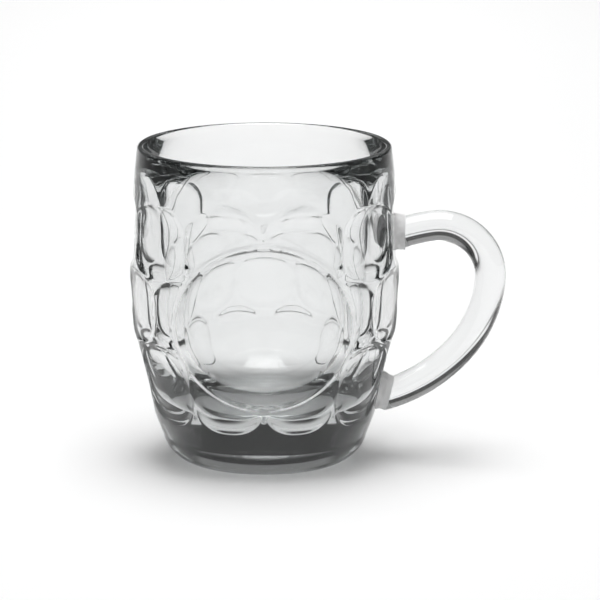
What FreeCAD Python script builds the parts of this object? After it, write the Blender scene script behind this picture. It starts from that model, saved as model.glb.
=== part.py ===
"""Small dimpled beer mug in clear pressed glass.

Two pieces of glass make the mug, and each is one body of this document:
  mug_body  a thick barrel with three staggered rows of round hollows, a large round
            medallion at the front, a heavy floor, and two short bosses for the handle
  handle    a round bar bent into a loop, stuck face to face onto the two bosses

Frame: millimetres, origin on the barrel's axis where the mug stands, +Z up, handle along +X.
"""
import FreeCAD, Part
import math
import os
import Sketcher

V = FreeCAD.Vector

# ------------------------------------------------------------------ driving dimensions
DIMENSIONS = {
    # barrel
    "height": 96.0,
    "foot_radius": 24.2,
    "heel_radius": 11.0,
    "shoulder_radius": 31.0,
    "shoulder_height": 8.0,
    "widest_radius": 40.5,
    "widest_height": 56.0,
    "rim_radius": 38.2,
    "rim_wall": 2.1,
    # inside
    "neck_radius": 31.2,
    "neck_height": 78.0,
    "neck_curve": 36.0,
    "wall_foot_radius": 30.0,
    "wall_foot_height": 40.0,
    "floor_radius": 6.0,
    "floor_height": 16.8,
    "bowl_curve": 24.0,
    # hollows: how many to a row, and the radial cut that each row makes
    "hollows": 10.0,
    "cutter_reach": 44.0,
    "upper_row_height": 70.5,
    "upper_row_floor": 39.15,
    "upper_row_lean": -2.5,
    "upper_row_curve": 70.0,
    "upper_row_axis": 43.0,
    "middle_row_height": 49.4,
    "middle_row_floor": 39.3,
    "middle_row_lean": 3.0,
    "middle_row_curve": 98.0,
    "middle_row_axis": 43.0,
    "lower_row_height": 27.0,
    "lower_row_floor": 36.0,
    "lower_row_lean": 13.3,
    "lower_row_curve": 180.0,
    "lower_row_axis": 48.0,
    # medallion
    "medallion_height": 47.5,
    "medallion_floor": 37.5,
    "medallion_lean": 4.7,
    "medallion_curve": 520.0,
    "medallion_axis": 14.2,
    "medallion_border_width": 26.8,
    "medallion_border_height": 25.4,
    "blank_depth": 3.0,
    # handle: a chain of tangent bends, each a radius and the heading that it ends on
    "bar_radius": 4.65,
    "bar_start_reach": 40.2,
    "bar_start_height": 68.6,
    "bar_heading": 18.0,
    "crown_radius": 60.0,
    "crown_heading": 8.0,
    "turn_radius": 15.5,
    "turn_heading": -96.0,
    "fall_radius": 37.5,
    "fall_heading": -132.5,
    "tail_radius": 48.0,
    "tail_heading": -169.0,
    # joint faces: where the bosses end and the handle starts
    "upper_joint_reach": 42.2,
    "upper_joint_height": 69.2,
    "upper_joint_tilt": 0.0,
    "lower_joint_reach": 37.8,
    "lower_joint_height": 19.4,
    "lower_joint_tilt": -15.0,
    # bosses
    "boss_radius": 5.4,
    "boss_root_radius": 7.0,
    "boss_flare": 6.0,
    "upper_boss_depth": 5.4,
    "lower_boss_depth": 5.0,
}

BENDS = ("crown", "turn", "fall", "tail")

doc = FreeCAD.newDocument("dimpled_mug")
sheet = doc.addObject("Spreadsheet::Sheet", "dims")
for row, (alias, size) in enumerate(DIMENSIONS.items(), start=1):
    sheet.set("A%d" % row, alias)
    sheet.set("B%d" % row, str(size))
    sheet.setAlias("B%d" % row, alias)
doc.recompute()


# ------------------------------------------------------------------ sketch helpers
def cell(alias):
    return "dims.%s" % alias


def value(expression):
    return float(getattr(sheet.evalExpression(expression), "Value", sheet.evalExpression(expression)))


def new_body(label):
    body = doc.addObject("PartDesign::Body", label)
    body.Label = label
    body.Placement = FreeCAD.Placement()
    return body


def origin_plane(body, role):
    return next(item for item in body.Origin.OriginFeatures if item.Role == role)


def new_sketch(body, name, role="XZ_Plane"):
    sketch = body.newObject("Sketcher::SketchObject", name)
    sketch.AttachmentSupport = [(origin_plane(body, role), "")]
    sketch.MapMode = "FlatFace"
    return sketch


def place_sketch(sketch, x, y, z, turn_axis=V(0, 1, 0), turn="0"):
    """Moves and turns a sketch in its own plane's frame; every argument is an expression."""
    sketch.AttachmentOffset = FreeCAD.Placement(V(), FreeCAD.Rotation(turn_axis, 1.0))
    sketch.setExpression("AttachmentOffset.Base.x", x)
    sketch.setExpression("AttachmentOffset.Base.y", y)
    sketch.setExpression("AttachmentOffset.Base.z", z)
    sketch.setExpression("AttachmentOffset.Rotation.Angle", "(%s) * 1deg" % turn)


def bind(sketch, kind, name, expression, *where):
    size = value(expression)
    if kind == "Angle":
        size = math.radians(size)
    index = sketch.addConstraint(Sketcher.Constraint(kind, *where, size))
    sketch.renameConstraint(index, name)
    sketch.setExpression("Constraints.%s" % name, expression)


def pin_point(sketch, name, geometry, end, x, y):
    """Holds one end of an edge at (x, y) from the sketch's origin."""
    bind(sketch, "DistanceX", name + "_x", x, -1, 1, geometry, end)
    bind(sketch, "DistanceY", name + "_y", y, -1, 1, geometry, end)


def arc_between(start, end, radius, side):
    """Arc from start to end; side +1 puts its centre left of the chord, -1 right of it."""
    chord = end - start
    left = V(-chord.y, chord.x, 0).normalize()
    centre = (start + end) * 0.5 + left * side * math.sqrt(radius ** 2 - chord.Length ** 2 / 4)
    first = math.atan2(start.y - centre.y, start.x - centre.x)
    last = math.atan2(end.y - centre.y, end.x - centre.x)
    if side < 0:
        first, last = last, first
    return Part.ArcOfCircle(Part.Circle(centre, V(0, 0, 1), radius), first, last)


def outline(sketch, corners, arcs=None):
    """Closed outline through named corners; arcs maps a corner to (radius, side) of the edge it starts."""
    arcs = arcs or {}
    names = list(corners)
    points = [V(value(x), value(y), 0) for x, y in corners.values()]
    ends = []
    for index, name in enumerate(names):
        start = points[index]
        end = points[(index + 1) % len(points)]
        if name in arcs:
            radius, side = arcs[name]
            edge = sketch.addGeometry(arc_between(start, end, value(radius), side))
            ends.append((edge, 1, 2) if side > 0 else (edge, 2, 1))
            bind(sketch, "Radius", name + "_bend", radius, edge)
        else:
            edge = sketch.addGeometry(Part.LineSegment(start, end))
            ends.append((edge, 1, 2))
    for index, name in enumerate(names):
        edge, first, _ = ends[index]
        before, _, last = ends[index - 1]
        sketch.addConstraint(Sketcher.Constraint("Coincident", before, last, edge, first))
        pin_point(sketch, name, edge, first, *corners[name])


# ------------------------------------------------------------------ barrel
LIP = "dims.rim_wall / 2"


def barrel_side():
    """The two arcs of the barrel's side, which meet upright at its widest."""
    curve = "((%s)^2 + (%s)^2) / (2 * (%s))"
    rise = "dims.widest_height - dims.shoulder_height"
    swell = "dims.widest_radius - dims.shoulder_radius"
    fall = "dims.height - %s - dims.widest_height" % LIP
    taper = "dims.widest_radius - dims.rim_radius"
    corners = {
        "shoulder": (cell("shoulder_radius"), cell("shoulder_height")),
        "widest": (cell("widest_radius"), cell("widest_height")),
        "rim_outside": (cell("rim_radius"), "dims.height - " + LIP),
    }
    arcs = {
        "shoulder": (curve % (rise, swell, swell), 1),
        "widest": (curve % (fall, taper, taper), 1),
    }
    return corners, arcs


def add_barrel(body):
    sketch = new_sketch(body, "barrel_section")
    side_corners, side_arcs = barrel_side()
    corners = {
        "foot_centre": ("0", "0"),
        "foot": (cell("foot_radius"), "0"),
        **side_corners,
        "rim_inside": ("dims.rim_radius - dims.rim_wall", "dims.height - " + LIP),
        "neck": (cell("neck_radius"), cell("neck_height")),
        "wall_foot": (cell("wall_foot_radius"), cell("wall_foot_height")),
        "floor": (cell("floor_radius"), cell("floor_height")),
        "floor_centre": ("0", cell("floor_height")),
    }
    arcs = {
        "foot": (cell("heel_radius"), 1),
        **side_arcs,
        "rim_outside": ("%s * 1.00001" % LIP, 1),
        "rim_inside": (cell("neck_curve"), 1),
        "wall_foot": (cell("bowl_curve"), -1),
    }
    outline(sketch, corners, arcs)
    barrel = body.newObject("PartDesign::Revolution", "barrel")
    barrel.Profile = sketch
    barrel.ReferenceAxis = (sketch, ["V_Axis"])
    barrel.Angle = 360.0
    return barrel


# ------------------------------------------------------------------ hollows
def cutter_sketch(body, name, kind, centre_angle, plane_angle):
    """Half-lens section whose curved side is the hollow's floor, on an axis behind the mug's axis."""
    sketch = new_sketch(body, name)
    axis = cell(kind + "_axis")
    place_sketch(sketch, "-%s * cos((%s) * 1deg)" % (axis, centre_angle), "0",
                 "%s * sin((%s) * 1deg)" % (axis, centre_angle), turn=plane_angle)
    lean = "(%s * 1deg)" % cell(kind + "_lean")
    curve = cell(kind + "_curve")
    floor = "(%s + %s)" % (cell(kind + "_floor"), axis)
    centre_x = "(%s + %s * cos%s)" % (floor, curve, lean)
    centre_z = "(%s - %s * sin%s)" % (cell(kind + "_height"), curve, lean)
    reach = "(%s + %s)" % (cell("cutter_reach"), axis)
    half = "sqrt(%s^2 - (%s - %s)^2)" % (curve, centre_x, reach)
    corners = {
        "low": (reach, "%s - %s" % (centre_z, half)),
        "high": (reach, "%s + %s" % (centre_z, half)),
    }
    outline(sketch, corners, {"high": (curve, 1)})
    return sketch


def add_groove(body, name, sketch):
    volume = body.Shape.Volume
    groove = body.newObject("PartDesign::Groove", name)
    groove.Profile = sketch
    groove.ReferenceAxis = (sketch, ["V_Axis"])
    groove.Angle = 360.0
    doc.recompute()
    if not body.Shape.Volume < volume - 1.0:
        raise RuntimeError("%s removes nothing" % name)
    return groove


def repeat_round(body, feature, count):
    volume = body.Shape.Volume
    pattern = body.newObject("PartDesign::PolarPattern", feature.Name + "_ring")
    pattern.Originals = [feature]
    pattern.Axis = (origin_plane(body, "Z_Axis"), [""])
    pattern.Angle = 360.0
    pattern.Occurrences = count
    body.Tip = pattern
    doc.recompute()
    if not body.Shape.Volume < volume - 1.0:
        raise RuntimeError("%s repeats nothing" % feature.Name)


def add_row(body, kind, first_angle):
    """One row of hollows round the barrel; the first is first_angle from the handle."""
    sketch = cutter_sketch(body, kind + "_section", kind, first_angle, first_angle)
    groove = add_groove(body, kind, sketch)
    repeat_round(body, groove, int(value(cell("hollows"))))


def make_medallion_blank():
    """The front's own skin inside the medallion border, which the hollows don't enter."""
    body = new_body("medallion_blank")
    sketch = new_sketch(body, "skin_section")
    corners, arcs = barrel_side()
    corners["skin_top"] = ("dims.rim_radius - dims.rim_wall / 2", corners["rim_outside"][1])
    corners["skin_middle"] = ("dims.widest_radius - dims.blank_depth", cell("widest_height"))
    corners["skin_foot"] = ("dims.shoulder_radius - dims.blank_depth / 2", cell("shoulder_height"))
    outline(sketch, corners, arcs)
    skin = body.newObject("PartDesign::Revolution", "skin")
    skin.Profile = sketch
    skin.ReferenceAxis = (sketch, ["V_Axis"])
    skin.Angle = 180.0
    skin.Reversed = True
    doc.recompute()

    border = new_sketch(body, "border_section")
    wide = "dims.medallion_border_width"
    high = "dims.medallion_border_height"
    reach = "2 * dims.cutter_reach"
    outline(border, {"a": ("-" + reach, "-" + reach), "b": (reach, "-" + reach),
                     "c": (reach, reach), "d": ("-" + reach, reach)})
    centre = V(0, value(cell("medallion_height")), 0)
    ring = border.addGeometry(Part.Ellipse(centre, value(wide), value(high)))
    pin_point(border, "ring_centre", ring, 3, "0", cell("medallion_height"))
    border.exposeInternalGeometry(ring)
    bind(border, "Distance", "ring_width", "2 * " + wide, ring + 1)
    bind(border, "Distance", "ring_height", "2 * " + high, ring + 2)
    border.addConstraint(Sketcher.Constraint("Horizontal", ring + 1))
    trim = body.newObject("PartDesign::Pocket", "border")
    trim.Profile = border
    trim.Type = "ThroughAll"
    trim.Midplane = True
    doc.recompute()
    return body


def add_medallion(body):
    """Restores the skin inside the border, then sinks the medallion's gently domed floor."""
    blank = make_medallion_blank()
    join = body.newObject("PartDesign::Boolean", "medallion_skin")
    join.setObjects([blank])
    join.Type = "Fuse"
    doc.recompute()
    add_groove(body, "medallion", cutter_sketch(body, "medallion_section", "medallion", "-90", "-90"))


# ------------------------------------------------------------------ handle line
def bend_chain():
    """Expressions for each bend's centre, start and end, worked out from the bend before it."""
    x = cell("bar_start_reach")
    y = cell("bar_start_height")
    heading = "(%s * 1deg)" % cell("bar_heading")
    chain = []
    for bend in BENDS:
        radius = cell(bend + "_radius")
        centre = ("%s + %s * sin%s" % (x, radius, heading), "%s - %s * cos%s" % (y, radius, heading))
        sweep = "%s - %s * 1deg" % (heading, cell(bend + "_heading"))
        heading = "(%s * 1deg)" % cell(bend + "_heading")
        end = ("%s - %s * sin%s" % (centre[0], radius, heading),
               "%s + %s * cos%s" % (centre[1], radius, heading))
        chain.append({"name": bend, "centre": centre, "start": (x, y), "end": end, "sweep": sweep})
        x, y = end
    return chain


def place_on_joint(sketch, joint):
    """Puts a sketch's origin on a joint face's centre, with its X axis square out of the face."""
    place_sketch(sketch, cell(joint + "_joint_reach"), cell(joint + "_joint_height"), "0", V(0, 0, 1),
                 cell(joint + "_joint_tilt"))


def add_boss(body, joint):
    """Flared round boss whose flat outer face carries the handle; it roots inside the wall."""
    sketch = new_sketch(body, joint + "_boss_section")
    place_on_joint(sketch, joint)
    depth = cell(joint + "_boss_depth")
    corners = {
        "root_centre": ("-" + depth, "0"),
        "face_centre": ("0", "0"),
        "face_edge": ("0", cell("boss_radius")),
        "root_edge": ("-" + depth, cell("boss_root_radius")),
    }
    outline(sketch, corners, {"face_edge": (cell("boss_flare"), -1)})
    boss = body.newObject("PartDesign::Revolution", joint + "_boss")
    boss.Profile = sketch
    boss.ReferenceAxis = (sketch, ["H_Axis"])
    boss.Angle = 360.0
    doc.recompute()


def trim_to_joint(body, joint):
    """Cuts the bar off flat on a joint face, square or aslant."""
    sketch = new_sketch(body, joint + "_trim_section")
    place_on_joint(sketch, joint)
    far = "3 * dims.bar_radius"
    outline(sketch, {"a": ("-" + far, "-" + far), "b": ("0", "-" + far),
                     "c": ("0", far), "d": ("-" + far, far)})
    cut = body.newObject("PartDesign::Pocket", joint + "_trim")
    cut.Profile = sketch
    cut.Type = "ThroughAll"
    cut.Midplane = True
    doc.recompute()


# ------------------------------------------------------------------ pieces
def make_mug_body():
    body = new_body("mug_body")
    add_barrel(body)
    doc.recompute()
    add_row(body, "upper_row", "0")
    add_row(body, "middle_row", "180 / dims.hollows")
    add_row(body, "lower_row", "0")
    add_medallion(body)
    add_boss(body, "upper")
    add_boss(body, "lower")
    return body


def make_handle():
    body = new_body("handle")
    path = new_sketch(body, "bar_line")
    last_edge = None
    for bend in bend_chain():
        start = V(value(bend["start"][0]), value(bend["start"][1]), 0)
        end = V(value(bend["end"][0]), value(bend["end"][1]), 0)
        radius = cell(bend["name"] + "_radius")
        edge = path.addGeometry(arc_between(start, end, value(radius), -1))
        if last_edge is None:
            pin_point(path, "first_centre", edge, 3, *bend["centre"])
            pin_point(path, "first_start", edge, 2, *bend["start"])
        else:
            path.addConstraint(Sketcher.Constraint("Tangent", last_edge, 1, edge, 2))
            bind(path, "Radius", bend["name"] + "_size", radius, edge)
        bind(path, "Angle", bend["name"] + "_sweep", bend["sweep"], edge)
        last_edge = edge

    section = new_sketch(body, "bar_section", "YZ_Plane")
    place_sketch(section, "0", cell("bar_start_height"), cell("bar_start_reach"), V(1, 0, 0),
                 "-" + cell("bar_heading"))
    ring = section.addGeometry(Part.Circle(V(), V(0, 0, 1), value(cell("bar_radius"))))
    section.addConstraint(Sketcher.Constraint("Coincident", ring, 3, -1, 1))
    bind(section, "Radius", "ring_radius", cell("bar_radius"), ring)

    bar = body.newObject("PartDesign::AdditivePipe", "bar")
    bar.Profile = section
    bar.Spine = path
    doc.recompute()

    trim_to_joint(body, "upper")
    trim_to_joint(body, "lower")
    return body


pieces = [make_mug_body(), make_handle()]
doc.recompute()

for item in doc.Objects:
    if "Invalid" in item.State or "Error" in item.State:
        raise RuntimeError("%s is %s" % (item.Name, item.State))

os.makedirs("parts", exist_ok=True)
for piece in pieces:
    shape = piece.Shape
    if shape.isNull() or not shape.isValid() or len(shape.Solids) != 1:
        raise RuntimeError("%s is not one sound solid" % piece.Label)
    box = shape.BoundBox
    print("%s volume %.0f mm3, box %.2f..%.2f %.2f..%.2f %.2f..%.2f" % (
        piece.Label, shape.Volume, box.XMin, box.XMax, box.YMin, box.YMax, box.ZMin, box.ZMax))
    shape.exportStep("parts/%s.step" % piece.Label)
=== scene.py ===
# %% [markdown]
# # A dimpled beer mug in clear pressed glass
#
# The mug is two pieces of glass. A plunger pressed the body inside a hinged mould, which is where
# its hollows come from, and a round bar was bent and stuck hot onto two short bosses as a handle.
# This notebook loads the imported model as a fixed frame, and builds a finer mesh for each piece.

# %% Load the frame
import bmesh
import bpy
import math
from mathutils import Matrix, Vector, noise


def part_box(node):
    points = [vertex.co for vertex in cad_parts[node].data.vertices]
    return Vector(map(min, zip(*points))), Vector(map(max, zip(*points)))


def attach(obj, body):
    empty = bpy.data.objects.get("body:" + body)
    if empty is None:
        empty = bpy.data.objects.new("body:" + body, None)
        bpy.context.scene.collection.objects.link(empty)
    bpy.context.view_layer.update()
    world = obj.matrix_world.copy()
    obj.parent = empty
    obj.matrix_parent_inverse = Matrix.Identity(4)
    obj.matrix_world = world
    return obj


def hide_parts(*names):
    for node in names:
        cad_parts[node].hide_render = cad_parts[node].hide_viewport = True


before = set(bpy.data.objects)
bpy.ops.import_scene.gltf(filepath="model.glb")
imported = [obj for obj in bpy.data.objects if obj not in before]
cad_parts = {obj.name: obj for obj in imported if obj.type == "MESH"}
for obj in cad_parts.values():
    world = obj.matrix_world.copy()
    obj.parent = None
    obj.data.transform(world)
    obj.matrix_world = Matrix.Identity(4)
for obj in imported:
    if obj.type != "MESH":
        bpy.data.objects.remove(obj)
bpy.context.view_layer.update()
MM = 0.001
print("nodes", sorted(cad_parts))

# %% [markdown]
# ## Sizes
#
# The frame gives the height. The other numbers are the ones that a mould maker would write on the
# drawing, in millimetres.

# %% Read the height and set the other sizes
body_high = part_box("mug_body")[1]
HEIGHT = body_high.z / MM
WIDEST_RADIUS = 40.5
WIDEST_HEIGHT = 56.0
RIM_RADIUS = 38.2
RIM_WALL = 2.1
FOOT_RADIUS = 24.2
SHOULDER = (31.0, 8.0)
HEEL_RADIUS = 11.0
NECK = (31.2, 78.0)
NECK_CURVE = 36.0
WALL_FOOT = (30.0, 40.0)
BOWL_CURVE = 24.0
FLOOR_RADIUS = 6.0
FLOOR_HEIGHT = 16.8
print("height %.2f mm, widest radius %.2f mm" % (HEIGHT, WIDEST_RADIUS))

# %% [markdown]
# ## The line of the barrel
#
# A barrel is a solid of revolution, so its whole wall is one line: out over the foot, up the side,
# round the lip and down to the floor. It could be drawn as a Bezier curve, but arcs say more
# plainly what the mould is: two long arcs meet upright at the widest place. Each stretch gets as
# many points as it needs, because every point becomes one ring of the mesh.

# %% Arcs and the barrel's line
def arc_points(start, end, radius, side, count):
    """Points from start to end, without the last; side +1 puts the centre left of the way."""
    start, end = Vector(start), Vector(end)
    chord = end - start
    across = Vector((-chord.y, chord.x)).normalized()
    rise = math.sqrt(max(radius ** 2 - chord.length_squared / 4, 0.0))
    centre = (start + end) / 2 + across * side * rise
    first = math.atan2(start.y - centre.y, start.x - centre.x)
    last = math.atan2(end.y - centre.y, end.x - centre.x)
    sweep = (last - first) % (2 * math.pi) if side > 0 else -((first - last) % (2 * math.pi))
    turns = [first + sweep * step / count for step in range(count)]
    return [centre + Vector((math.cos(turn), math.sin(turn))) * radius for turn in turns]


def line_points(start, end, count):
    return [Vector(start).lerp(Vector(end), step / count) for step in range(count)]


def side_radius(start, end):
    """Radius of the arc that stands upright at one end and passes through the other."""
    across, up = abs(start[0] - end[0]), abs(start[1] - end[1])
    return (up ** 2 + across ** 2) / (2 * across)


lip = HEIGHT - RIM_WALL / 2
widest = (WIDEST_RADIUS, WIDEST_HEIGHT)
rim_outside = (RIM_RADIUS, lip)
rim_inside = (RIM_RADIUS - RIM_WALL, lip)
floor_edge = (FLOOR_RADIUS, FLOOR_HEIGHT)

outer_line = line_points((0, 0), (FOOT_RADIUS, 0), 2)
outer_line += arc_points((FOOT_RADIUS, 0), SHOULDER, HEEL_RADIUS, 1, 14)
outer_line += arc_points(SHOULDER, widest, side_radius(SHOULDER, widest), 1, 104)
outer_line += arc_points(widest, rim_outside, side_radius(widest, rim_outside), 1, 84)
inner_line = arc_points(rim_outside, rim_inside, RIM_WALL / 2 * 1.00001, 1, 10)
inner_line += arc_points(rim_inside, NECK, NECK_CURVE, 1, 12)
inner_line += line_points(NECK, WALL_FOOT, 4)
inner_line += arc_points(WALL_FOOT, floor_edge, BOWL_CURVE, -1, 22)
inner_line += line_points(floor_edge, (0, FLOOR_HEIGHT), 2) + [Vector((0, FLOOR_HEIGHT))]
barrel_line = outer_line + inner_line
capacity = sum(
    math.pi * (a.x + b.x) ** 2 / 4 * (a.y - b.y) for a, b in zip(inner_line, inner_line[1:])
)
print("rings", len(barrel_line), "brimful %.0f ml" % (capacity / 1000))

# %% Put the line in a mesh that the node tree can read
profile_mesh = bpy.data.meshes.new("barrel_line")
profile_mesh.from_pydata([(p.x * MM, 0, p.y * MM) for p in barrel_line], [], [])
outside = profile_mesh.attributes.new("outside", "FLOAT", "POINT")
outside.data.foreach_set("value", [float(i < len(outer_line)) for i in range(len(barrel_line))])
profile = bpy.data.objects.new("barrel_line", profile_mesh)

# %% [markdown]
# ## Writing a node tree in short calls
#
# Geometry Nodes suit the body, because its shape follows a rule: the same hollow, ten times round,
# in three rows. A tree is long when every node is made by hand, so a small class adds a node,
# fills its sockets and hands back its first output.

# %% A small writer for node trees
class NodeSheet:
    """Adds nodes to one Geometry Nodes tree, and keeps the names of its inputs."""

    def __init__(self, name):
        self.tree = bpy.data.node_groups.new(name, "GeometryNodeTree")
        self.tree.interface.new_socket("Geometry", in_out="OUTPUT", socket_type="NodeSocketGeometry")
        self.entry = self.tree.nodes.new("NodeGroupInput")

    def size(self, name, kind="Float"):
        self.tree.interface.new_socket(name, in_out="INPUT", socket_type="NodeSocket" + kind)
        return self.entry.outputs[name]

    def add(self, kind, sockets=None, output=0, **settings):
        node = self.tree.nodes.new(kind)
        for key, setting in settings.items():
            setattr(node, key, setting)
        for key, term in (sockets or {}).items():
            if isinstance(term, bpy.types.NodeSocket):
                self.tree.links.new(term, node.inputs[key])
            else:
                node.inputs[key].default_value = term
        return node.outputs[output]

    def calc(self, operation, *terms):
        return self.add("ShaderNodeMath", dict(enumerate(terms)), operation=operation)

    def finish(self, geometry, material):
        real = self.add("GeometryNodeRealizeInstances", {0: geometry})
        coated = self.add("GeometryNodeSetMaterial", {"Geometry": real, "Material": material})
        self.add_exit(coated)

    def add_exit(self, geometry):
        exit_node = self.tree.nodes.new("NodeGroupOutput")
        self.tree.links.new(geometry, exit_node.inputs["Geometry"])


def grow(name, tree, sizes):
    """Runs a tree on an empty mesh, and returns its result as a plain mesh object."""
    piece = bpy.data.objects.new(name, bpy.data.meshes.new(name))
    bpy.context.scene.collection.objects.link(piece)
    modifier = piece.modifiers.new("tree", "NODES")
    modifier.node_group = tree
    entries = [item for item in tree.interface.items_tree if item.in_out == "INPUT"]
    sockets = {item.name: item.identifier for item in entries}
    for label, value in sizes.items():
        modifier[sockets[label]] = value
    view = bpy.context.evaluated_depsgraph_get()
    view.update()
    grown = bpy.data.meshes.new_from_object(piece.evaluated_get(view))
    piece.modifiers.remove(modifier)
    piece.data = grown
    grown.name = name
    return piece


# %% [markdown]
# ## Glass
#
# What the eye reads in glass is mostly the room, bent by every surface, so the shader is a plain
# Principled one with full transmission and the refractive index of soda-lime glass. Fire polishing
# leaves a faint swell on the skin, which a soft bump gives. A grey absorption darkens the thick
# base and the long ways through the sides. It is stronger than in real clear glass, for the look.

# %% The glass of the body and of the handle
GLASS_TINT = (0.985, 0.99, 0.99)
GLASS_IOR = 1.51
ABSORBED_TINT = (0.4, 0.42, 0.42)
ABSORPTION_DENSITY = 17.0


def make_glass(name, ripple_size, ripple_depth):
    """Clear glass whose skin swells by ripple_depth over ripple_size, both in millimetres."""
    material = bpy.data.materials.new(name)
    material.use_nodes = True
    nodes, links = material.node_tree.nodes, material.node_tree.links
    shader = nodes["Principled BSDF"]
    shader.inputs["Base Color"].default_value = (*GLASS_TINT, 1)
    shader.inputs["Transmission Weight"].default_value = 1.0
    shader.inputs["Roughness"].default_value = 0.0
    shader.inputs["IOR"].default_value = GLASS_IOR
    place = nodes.new("ShaderNodeTexCoord")
    swell = nodes.new("ShaderNodeTexNoise")
    swell.inputs["Scale"].default_value = 1 / (ripple_size * MM)
    swell.inputs["Detail"].default_value = 1.0
    bump = nodes.new("ShaderNodeBump")
    bump.inputs["Strength"].default_value = 1.0
    bump.inputs["Distance"].default_value = ripple_depth * MM
    links.new(place.outputs["Object"], swell.inputs["Vector"])
    links.new(swell.outputs["Fac"], bump.inputs["Height"])
    links.new(bump.outputs["Normal"], shader.inputs["Normal"])
    absorption = nodes.new("ShaderNodeVolumeAbsorption")
    absorption.inputs["Color"].default_value = (*ABSORBED_TINT, 1)
    absorption.inputs["Density"].default_value = ABSORPTION_DENSITY
    links.new(absorption.outputs["Volume"], nodes["Material Output"].inputs["Volume"])
    return material


body_glass = make_glass("pressed_glass", 9.0, 0.05)
handle_glass = make_glass("drawn_glass", 14.0, 0.03)

# %% [markdown]
# ## The pressed body
#
# Every point of the wall is a turn round the axis and a place on the line. Inside a hollow the
# wall sinks by a depth that falls away to nothing at the hollow's edge, so the tree works out how
# deep each row cuts, keeps the deepest, and rounds the place where two cuts meet, as a polished
# mould does. The medallion at the front has its own cut, and keeps the hollows out.

# %% The rule for one row of hollows
def sheet_row(sheet, turn, up, height, half_height, shift, common):
    """Depth cut by one row: a hollow and its neighbour, whichever is nearer, softly joined."""
    pitch, half_angle, depth, soft, square, steep = common
    half_pitch = sheet.calc("MULTIPLY", pitch, 0.5)
    start = sheet.calc("MULTIPLY", half_pitch, -1.0)
    local = sheet.calc("WRAP", sheet.calc("SUBTRACT", turn, shift), half_pitch, start)
    near = sheet.calc("ABSOLUTE", local)
    far = sheet.calc("SUBTRACT", pitch, near)
    tall = sheet.calc("DIVIDE", sheet.calc("SUBTRACT", up, height), half_height)
    tall_powered = sheet.calc("POWER", sheet.calc("ABSOLUTE", tall), square)
    cuts = []
    for away in (near, far):
        wide = sheet.calc("DIVIDE", away, half_angle)
        wide_powered = sheet.calc("POWER", wide, square)
        spread = sheet.calc("ADD", wide_powered, tall_powered)
        fall = sheet.calc("SUBTRACT", 1.0, sheet.calc("POWER", spread, steep))
        cuts.append(sheet.calc("MULTIPLY", fall, depth))
    return sheet.calc("SMOOTH_MAX", cuts[0], cuts[1], soft)


# %% The tree for the whole body
MEDALLION_STEEPNESS = 7.0
BACK_SPREAD = 9.0
SAME_PLACE = 1e-6


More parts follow.
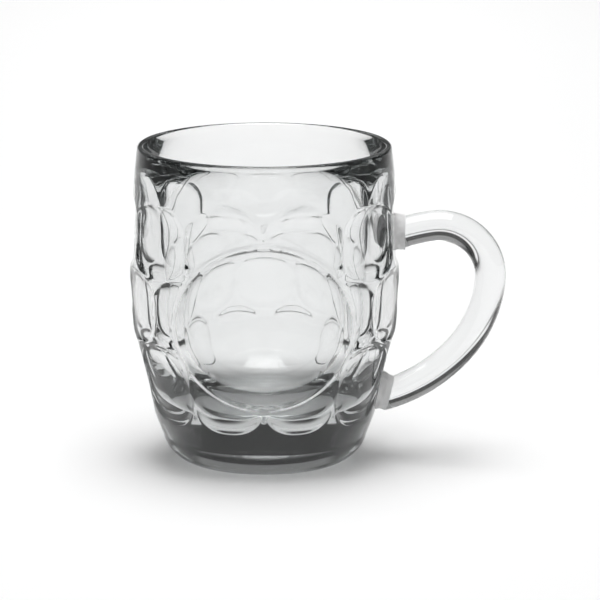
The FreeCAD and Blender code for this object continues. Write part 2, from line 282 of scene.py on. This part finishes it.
def barrel_tree():
    sheet = NodeSheet("pressed_barrel")
    line = sheet.size("Line", "Object")
    rings = sheet.size("Rings", "Int")
    columns = sheet.size("Columns", "Int")
    pitch = sheet.size("Hollow Pitch")
    half_angle = sheet.size("Hollow Half Angle")
    depth = sheet.size("Hollow Depth")
    soft = sheet.size("Edge Softness")
    square = sheet.size("Hollow Squareness")
    steep = sheet.size("Hollow Steepness")
    rows = [(sheet.size(row + " Row Height"), sheet.size(row + " Row Half Height"), shift)
            for row, shift in (("Upper", 0.0), ("Middle", 0.5), ("Lower", 0.0))]
    disc_height = sheet.size("Medallion Height")
    disc_wide = sheet.size("Medallion Half Width")
    disc_tall = sheet.size("Medallion Half Height")
    disc_edge = sheet.size("Medallion Edge Depth")
    disc_bowl = sheet.size("Medallion Bowl Depth")
    border = sheet.size("Medallion Border")
    material = sheet.size("Material", "Material")

    around = sheet.calc("ADD", columns, 1.0)
    grid = sheet.add("GeometryNodeMeshGrid", {"Vertices X": around, "Vertices Y": rings})
    place = sheet.add("GeometryNodeInputPosition")
    flat = sheet.add("ShaderNodeSeparateXYZ", {0: place}).node
    turn = sheet.calc("MULTIPLY", sheet.calc("ADD", flat.outputs["X"], 0.5), 2 * math.pi)
    last_ring = sheet.calc("SUBTRACT", rings, 1.0)
    along = sheet.calc("ADD", flat.outputs["Y"], 0.5)
    ring = sheet.calc("ROUND", sheet.calc("MULTIPLY", along, last_ring))
    points = sheet.add("GeometryNodeObjectInfo", {"Object": line}, output="Geometry")
    on_line = sheet.add("GeometryNodeSampleIndex", {"Geometry": points, "Value": place, "Index": ring},
                        data_type="FLOAT_VECTOR")
    mark = sheet.add("GeometryNodeInputNamedAttribute", {"Name": "outside"}, data_type="FLOAT")
    outer = sheet.add("GeometryNodeSampleIndex", {"Geometry": points, "Value": mark, "Index": ring},
                      data_type="FLOAT")
    on_line = sheet.add("ShaderNodeSeparateXYZ", {0: on_line}).node
    radius, up = on_line.outputs["X"], on_line.outputs["Z"]

    common = (pitch, half_angle, depth, soft, square, steep)
    hollows = None
    for height, half_height, share in rows:
        shift = sheet.calc("MULTIPLY", pitch, share)
        cut = sheet_row(sheet, turn, up, height, half_height, shift, common)
        hollows = cut if hollows is None else sheet.calc("SMOOTH_MAX", hollows, cut, soft)

    cosine = sheet.calc("COSINE", turn)
    sine = sheet.calc("SINE", turn)
    wide = sheet.calc("DIVIDE", sheet.calc("MULTIPLY", radius, cosine), disc_wide)
    tall = sheet.calc("DIVIDE", sheet.calc("SUBTRACT", up, disc_height), disc_tall)
    spread = sheet.calc("MULTIPLY_ADD", wide, wide, sheet.calc("MULTIPLY", tall, tall))
    at_back = sheet.calc("GREATER_THAN", sine, 0.0)
    spread = sheet.calc("ADD", spread, sheet.calc("MULTIPLY", at_back, BACK_SPREAD))
    reach = sheet.calc("SQRT", spread)
    edge_fall = sheet.calc("SUBTRACT", 1.0, sheet.calc("POWER", spread, MEDALLION_STEEPNESS))
    bowl_fall = sheet.calc("SUBTRACT", 1.0, spread)
    bowl = sheet.calc("MULTIPLY", bowl_fall, disc_bowl)
    disc = sheet.calc("MULTIPLY_ADD", edge_fall, disc_edge, bowl)
    border_end = sheet.calc("ADD", border, 1.0)
    clear = sheet.add("ShaderNodeMapRange", {"Value": reach, "From Min": 1.0, "From Max": border_end},
                      interpolation_type="SMOOTHSTEP")
    hollows = sheet.calc("MULTIPLY", sheet.calc("SMOOTH_MAX", hollows, 0.0, soft), clear)
    cut = sheet.calc("SMOOTH_MAX", disc, hollows, soft)
    cut = sheet.calc("MULTIPLY", sheet.calc("MAXIMUM", cut, 0.0), outer)

    radius = sheet.calc("SUBTRACT", radius, cut)
    new_place = sheet.add("ShaderNodeCombineXYZ", {
        "X": sheet.calc("MULTIPLY", radius, cosine),
        "Y": sheet.calc("MULTIPLY", radius, sine), "Z": up})
    wall = sheet.add("GeometryNodeSetPosition", {"Geometry": grid, "Position": new_place})
    closed = sheet.add("GeometryNodeMergeByDistance", {"Geometry": wall, "Distance": SAME_PLACE})
    smooth = sheet.add("GeometryNodeSetShadeSmooth", {"Geometry": closed})
    sheet.finish(smooth, material)
    return sheet.tree


COLUMNS = 380
barrel = grow("mug_body_glass", barrel_tree(), {
    "Line": profile, "Rings": len(barrel_line), "Columns": COLUMNS,
    "Hollow Pitch": math.radians(36), "Hollow Half Angle": math.radians(18.6),
    "Hollow Depth": 1.1 * MM, "Edge Softness": 0.25 * MM,
    "Hollow Squareness": 2.6, "Hollow Steepness": 2.7,
    "Upper Row Height": 70.5 * MM, "Upper Row Half Height": 11.2 * MM,
    "Middle Row Height": 49.4 * MM, "Middle Row Half Height": 10.9 * MM,
    "Lower Row Height": 27.0 * MM, "Lower Row Half Height": 12.6 * MM,
    "Medallion Height": 47.5 * MM, "Medallion Half Width": 26.2 * MM,
    "Medallion Half Height": 24.7 * MM, "Medallion Edge Depth": 1.2 * MM,
    "Medallion Bowl Depth": 0.9 * MM, "Medallion Border": 0.06, "Material": body_glass,
})


def outward(piece):
    """Turns a closed mesh's faces outwards, and prints its volume and its open edges."""
    shape = bmesh.new()
    shape.from_mesh(piece.data)
    if shape.calc_volume(signed=True) < 0:
        bmesh.ops.reverse_faces(shape, faces=shape.faces)
    volume = shape.calc_volume(signed=True)
    open_edges = sum(not edge.is_manifold for edge in shape.edges)
    shape.to_mesh(piece.data)
    shape.free()
    faces = len(piece.data.polygons)
    print(piece.name, "%.0f mm3" % (volume / MM ** 3), "faces", faces, "open", open_edges)


outward(barrel)

# %% [markdown]
# ## The two bosses
#
# A boss is a short round stub that flares where it leaves the wall. The hot handle was pressed
# against it, which wrinkled its skin. Each is turned as a small lathe mesh, wrinkled with noise,
# and joined to the body with a boolean, because it is the same glass with no wall between.

# %% Joint faces
JOINTS = {
    "upper": {"reach": 42.2, "height": 69.2, "tilt": 0.0, "depth": 5.4},
    "lower": {"reach": 37.8, "height": 19.4, "tilt": -15.0, "depth": 5.0},
}
BOSS_RADIUS = 5.4
BOSS_ROOT_RADIUS = 7.2
BOSS_FLARE = 6.0
BOSS_RINGS = 14
BOSS_COLUMNS = 96
WRINKLE_DEPTH = 0.5
WRINKLE_ALONG = 0.9
WRINKLE_AROUND = 2.2
JOINT_OVERLAP = 0.02


def joint_frame(joint):
    """Matrix whose X axis points square out of a joint face, in metres."""
    place = Matrix.Translation(Vector((joint["reach"], 0, joint["height"])) * MM)
    return place @ Matrix.Rotation(-math.radians(joint["tilt"]), 4, "Y")


def add_rings(shape, rings):
    """Skins a list of equal rings of points with quads, and caps both ends."""
    loops = [[shape.verts.new(point) for point in ring] for ring in rings]
    for first, second in zip(loops, loops[1:]):
        for index in range(len(first)):
            after = (index + 1) % len(first)
            shape.faces.new((first[index], first[after], second[after], second[index]))
    shape.faces.new(list(reversed(loops[0])))
    shape.faces.new(loops[-1])


def make_boss(name, joint, seed):
    root = (-joint["depth"], BOSS_ROOT_RADIUS)
    line = arc_points((0, BOSS_RADIUS), root, BOSS_FLARE, -1, BOSS_RINGS) + [Vector(root)]
    place = joint_frame(joint)
    rings = []
    for point in line:
        ring = []
        for step in range(BOSS_COLUMNS):
            turn = 2 * math.pi * step / BOSS_COLUMNS
            side = Vector((0, math.cos(turn), math.sin(turn)))
            spot = Vector((point.x * WRINKLE_ALONG, 0, seed)) + side * WRINKLE_AROUND
            wrinkle = noise.noise(spot) * WRINKLE_DEPTH
            grip = math.sin(math.pi * min(max(-point.x / joint["depth"], 0.0), 1.0))
            radius = point.y + wrinkle * grip
            ring.append(place @ ((Vector((point.x, 0, 0)) + side * radius) * MM))
        rings.append(ring)
    shape = bmesh.new()
    add_rings(shape, rings)
    mesh = bpy.data.meshes.new(name)
    shape.to_mesh(mesh)
    shape.free()
    boss = bpy.data.objects.new(name, mesh)
    bpy.context.scene.collection.objects.link(boss)
    outward(boss)
    return boss


def join_boss(body, boss):
    union = body.modifiers.new("boss", "BOOLEAN")
    union.operation = "UNION"
    union.object = boss
    union.solver = "MANIFOLD"
    view = bpy.context.evaluated_depsgraph_get()
    view.update()
    mesh = bpy.data.meshes.new_from_object(body.evaluated_get(view))
    body.modifiers.remove(union)
    body.data = mesh
    bpy.data.objects.remove(boss)


for seed, (word, joint) in enumerate(JOINTS.items()):
    join_boss(barrel, make_boss(word + "_boss", joint, 3.7 * seed))
outward(barrel)
barrel.data.shade_smooth()
barrel.data.set_sharp_from_angle(angle=math.radians(50))

# %% [markdown]
# ## The handle
#
# The bar is round, bent into a chain of arcs that run smoothly into each other. Sweeping a ring
# along the chain keeps every section square to the line. Both ends are then cut flat a hair inside
# the bosses, so that no film of air is left between two pieces of glass that are fused.

# %% The bar's line
BAR_START = (40.2, 68.6)
BAR_HEADING = 18.0
BENDS = [(60.0, 8.0), (15.5, -96.0), (37.5, -132.5), (48.0, -169.0)]
BAR_RADIUS = 4.65
RING_POINTS = 96


def bar_stations(spacing=0.5):
    """(place, heading) along the bar; each bend turns clockwise from the one before it."""
    x, y = BAR_START
    heading = math.radians(BAR_HEADING)
    stations = [(x, y, heading)]
    for radius, ends_on in BENDS:
        target = math.radians(ends_on)
        centre = (x + radius * math.sin(heading), y - radius * math.cos(heading))
        count = round(radius * (heading - target) / spacing)
        for step in range(1, count + 1):
            now = heading + (target - heading) * step / count
            across, rise = -radius * math.sin(now), radius * math.cos(now)
            stations.append((centre[0] + across, centre[1] + rise, now))
        x, y, heading = stations[-1]
    return stations


def make_handle():
    rings = []
    for x, y, heading in bar_stations():
        up = Vector((-math.sin(heading), 0, math.cos(heading)))
        ring = []
        for step in range(RING_POINTS):
            turn = 2 * math.pi * step / RING_POINTS
            offset = up * math.cos(turn) + Vector((0, 1, 0)) * math.sin(turn)
            ring.append((Vector((x, 0, y)) + offset * BAR_RADIUS) * MM)
        rings.append(ring)
    shape = bmesh.new()
    add_rings(shape, rings)
    bmesh.ops.recalc_face_normals(shape, faces=shape.faces)
    middle = sum(joint["height"] for joint in JOINTS.values()) / 2 * MM
    for joint in JOINTS.values():
        place = joint_frame(joint)
        square = place.to_3x3() @ Vector((1, 0, 0))
        upper = joint["height"] * MM > middle
        near = [face for face in shape.faces if (face.calc_center_median().z > middle) == upper]
        parts = near + list({edge for face in near for edge in face.edges})
        parts += list({vert for face in near for vert in face.verts})
        cut_at = place.translation - square * JOINT_OVERLAP * MM
        bmesh.ops.bisect_plane(shape, geom=parts, plane_co=cut_at, plane_no=square, clear_inner=True)
        rim = [edge for edge in shape.edges if edge.is_boundary]
        bmesh.ops.contextual_create(shape, geom=rim)
    mesh = bpy.data.meshes.new("handle_glass")
    shape.to_mesh(mesh)
    shape.free()
    handle = bpy.data.objects.new("handle_glass", mesh)
    bpy.context.scene.collection.objects.link(handle)
    outward(handle)
    mesh.materials.append(handle_glass)
    mesh.shade_smooth()
    mesh.set_sharp_from_angle(angle=math.radians(50))
    return handle


handle = make_handle()

# %% Tie the pieces to the frame
for piece, node, slot in ((barrel, "mug_body", "clear_glass"), (handle, "handle", "handle_glass")):
    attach(piece, "root")
    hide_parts(node)

# %% [markdown]
# ## Floor
#
# The floor is one matt white sheet that reaches 6 m each way. It lies a little below the foot, so
# that glass and paper never share a plane.

# %% Floor
FLOOR_HALF = 6.0
FLOOR_DROP = 0.0003
FLOOR_WHITE = 0.93


def make_floor():
    mesh = bpy.data.meshes.new("studio_floor")
    corners = [(x * FLOOR_HALF, y * FLOOR_HALF, 0) for x, y in ((-1, -1), (1, -1), (1, 1), (-1, 1))]
    mesh.from_pydata(corners, [], [(0, 1, 2, 3)])
    mesh.transform(Matrix.Translation((0, 0, -FLOOR_DROP)))
    floor = bpy.data.objects.new("studio_floor", mesh)
    bpy.context.scene.collection.objects.link(floor)
    material = bpy.data.materials.new("white_paper")
    material.use_nodes = True
    shader = material.node_tree.nodes["Principled BSDF"]
    shader.inputs["Base Color"].default_value = (FLOOR_WHITE, FLOOR_WHITE, FLOOR_WHITE, 1)
    shader.inputs["Roughness"].default_value = 0.9
    shader.inputs["Specular IOR Level"].default_value = 0.0
    mesh.materials.append(material)


make_floor()

# %% [markdown]
# ## Room and light
#
# Clear glass shows only what stands round it. In front and behind, the room is bright in a low
# band, almost black just over it and dim above that. Both sides are dark. The glass gets its dark
# lines from these. From near the floor the bands can be seen directly, with hard upper edges. One
# softbox overhead lights the floor, which darkens away from the mug.

# %% Room
world = bpy.data.worlds.new("studio")
bpy.context.scene.world = world
world.use_nodes = True
nodes, links = world.node_tree.nodes, world.node_tree.links
room = nodes["Background"]


def ramp(value, start, end):
    """A soft step from 0 to 1 between two values."""
    step = nodes.new("ShaderNodeMapRange")
    step.interpolation_type = "SMOOTHSTEP"
    step.inputs["From Min"].default_value = start
    step.inputs["From Max"].default_value = end
    links.new(value, step.inputs["Value"])
    return step.outputs["Result"]


def blend(amount, first, second):
    """Goes from first to second as amount goes from 0 to 1; each is a number or a socket."""
    mix = nodes.new("ShaderNodeMix")
    for key, term in (("Factor", amount), ("A", first), ("B", second)):
        socket = mix.inputs[key]
        if isinstance(term, bpy.types.NodeSocket):
            links.new(term, socket)
        else:
            socket.default_value = term
    return mix.outputs["Result"]


direction = nodes.new("ShaderNodeTexCoord").outputs["Generated"]
axes = nodes.new("ShaderNodeSeparateXYZ")
links.new(direction, axes.inputs["Vector"])
aside = nodes.new("ShaderNodeMath")
aside.operation = "ABSOLUTE"
links.new(axes.outputs["X"], aside.inputs[0])
BACKDROP, GAP, SIDE, HIGH = 0.95, 0.05, 0.04, 0.3
GAP_EDGES = (0.05, 0.09)
OVERHEAD_EDGES = (0.26, 0.34)
SIDE_EDGES = (0.45, 0.6)
gap = ramp(axes.outputs["Z"], *GAP_EDGES)
overhead = ramp(axes.outputs["Z"], *OVERHEAD_EDGES)
side = ramp(aside.outputs["Value"], *SIDE_EDGES)
walls = blend(side, blend(overhead, GAP, HIGH), SIDE)
links.new(blend(gap, blend(side, BACKDROP, SIDE), walls), room.inputs["Color"])


def add_softbox(name, place, wide, long, spread, strength):
    """A lamp hung flat over the floor; spread is the angle in degrees that its grid lets out."""
    lamp = bpy.data.lights.new(name, "AREA")
    lamp.shape = "RECTANGLE"
    lamp.size = wide
    lamp.size_y = long
    lamp.spread = math.radians(spread)
    lamp.energy = strength * math.pi * wide * long
    softbox = bpy.data.objects.new(name, lamp)
    softbox.location = place
    bpy.context.scene.collection.objects.link(softbox)


add_softbox("ceiling_softbox", (0, 0.4, 1.3), 0.8, 2.4, 70, 1.2)
bpy.context.scene.view_settings.view_transform = "Standard"
GLASS_BOUNCES = 32
paths = bpy.context.scene.cycles
paths.max_bounces = GLASS_BOUNCES
paths.transmission_bounces = GLASS_BOUNCES
paths.glossy_bounces = GLASS_BOUNCES

# %% [markdown]
# ## Camera
#
# The camera stands 1.36 m from the point it looks at and 12.25 degrees above it. Its lens is
# worked out from the width that it has to take in.

# %% Camera
PICTURE_WIDTH = 181.0
DISTANCE = 1.36
ELEVATION = math.radians(12.25)
AIM = Vector((10.65, 0, 48.2)) * MM
lens = bpy.data.cameras.new("camera")
lens.sensor_width = 36.0
lens.lens = 36.0 * DISTANCE / (PICTURE_WIDTH * MM)
lens.clip_start = 0.05
lens.clip_end = 50.0
camera = bpy.data.objects.new("camera", lens)
bpy.context.scene.collection.objects.link(camera)
away = Vector((0, -math.cos(ELEVATION), math.sin(ELEVATION)))
camera.location = AIM + away * DISTANCE
camera.rotation_euler = away.to_track_quat("Z", "Y").to_euler()
bpy.context.scene.camera = camera

# %% Remove the helper line and finish
bpy.data.objects.remove(profile)
